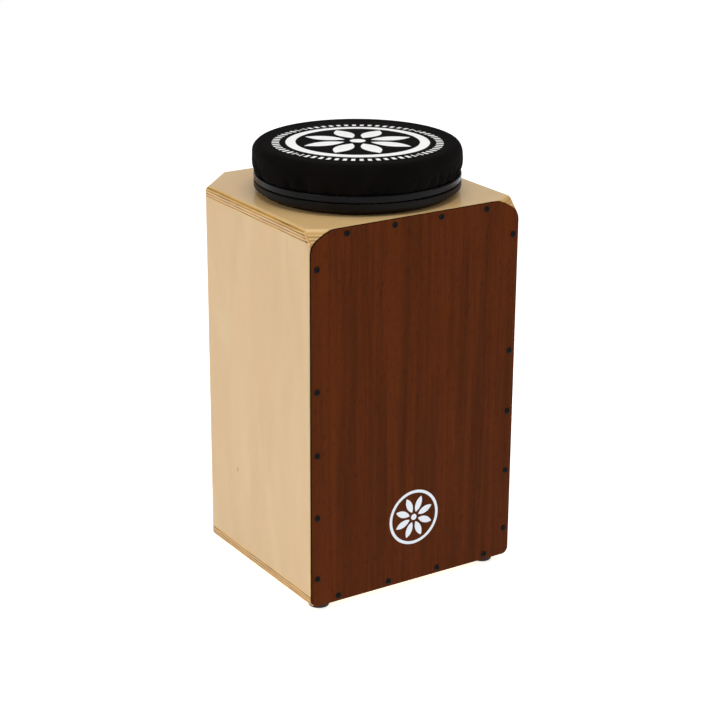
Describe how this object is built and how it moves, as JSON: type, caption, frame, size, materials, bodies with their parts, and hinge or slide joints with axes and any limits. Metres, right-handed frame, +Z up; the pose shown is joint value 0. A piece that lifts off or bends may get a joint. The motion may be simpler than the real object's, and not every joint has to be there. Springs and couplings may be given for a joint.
{
  "type": "cajon with swivel seat",
  "caption": "Plywood box drum with bevelled rear corners, a screwed front playing plate, a rear sound hole, inner snares, rubber feet and a loose padded swivel seat on top.",
  "frame": {"origin": "on the floor, at the middle of the bounding box's underside", "axes": "+Z up, the front playing plate faces -Y, +X to the right as seen from the front"},
  "size_m": [0.297, 0.3022, 0.546],
  "materials": {
    "plywood": "satin lacquer",
    "tapa_veneer": "satin lacquer",
    "inner_wood": "raw",
    "emblem_print": "matte print",
    "black_screws": "satin black",
    "foot_rubber": "matte",
    "zinc_steel": "zinc plated",
    "snare_steel": "bright",
    "ball_steel": "polished",
    "base_plastic": "fine satin",
    "plate_plastic": "fine satin",
    "cage_plastic": "natural nylon",
    "grip_rubber": "matte",
    "foam": "open-cell foam",
    "cover_fabric": "matte stretch knit",
    "elastic": "woven elastic"
  },
  "bodies": {
    "cajon": {"top_panel": "plywood", "bottom_panel": "plywood", "left_side_panel": "plywood", "right_side_panel": "plywood", "left_rear_corner_panel": "plywood", "right_rear_corner_panel": "plywood", "back_panel": "plywood", "tapa": "tapa_veneer", "tapa_screws": "black_screws", "front_emblem": "emblem_print", "front_left_foot": "foot_rubber", "front_right_foot": "foot_rubber", "rear_left_foot": "foot_rubber", "rear_right_foot": "foot_rubber", "foot_washers": "zinc_steel", "foot_screws": "zinc_steel", "snare_crossbar": "inner_wood", "left_crossbar_cleat": "inner_wood", "right_crossbar_cleat": "inner_wood", "crossbar_screws": "zinc_steel", "left_snare_clip": "snare_steel", "right_snare_clip": "snare_steel", "left_snare_wires": "snare_steel", "right_snare_wires": "snare_steel", "snare_clip_screws": "zinc_steel"},
    "seat_base": {"lower_plate": "base_plastic", "grip_ring": "grip_rubber", "pivot_bolt": "zinc_steel", "thrust_washer": "cage_plastic", "retaining_washer": "zinc_steel", "lock_nut": "zinc_steel"},
    "ball_set": {"ball_cage": "cage_plastic", "bearing_balls": "ball_steel"},
    "seat": {"upper_plate": "plate_plastic", "foam_cushion": "foam", "seat_cover": "cover_fabric", "cover_elastic": "elastic"}
  },
  "joints": [
    {"name": "seat_lift", "type": "slide", "parent": "cajon", "child": "seat_base", "axis": [0, 0, 1], "range_m": [0, 0.12]},
    {"name": "seat_swivel", "type": "hinge", "parent": "seat_base", "child": "seat", "pos_m": [0.0012, -0.0149, 0.4925], "axis": [0, 0, 1], "continuous": true},
    {"name": "ball_orbit", "type": "hinge", "parent": "seat_base", "child": "ball_set", "pos_m": [0.0012, -0.0149, 0.4925], "axis": [0, 0, 1], "continuous": true}
  ],
  "couplings": [
    {"joint": "ball_orbit", "follows": "seat_swivel", "ratio": 0.5}
  ]
}
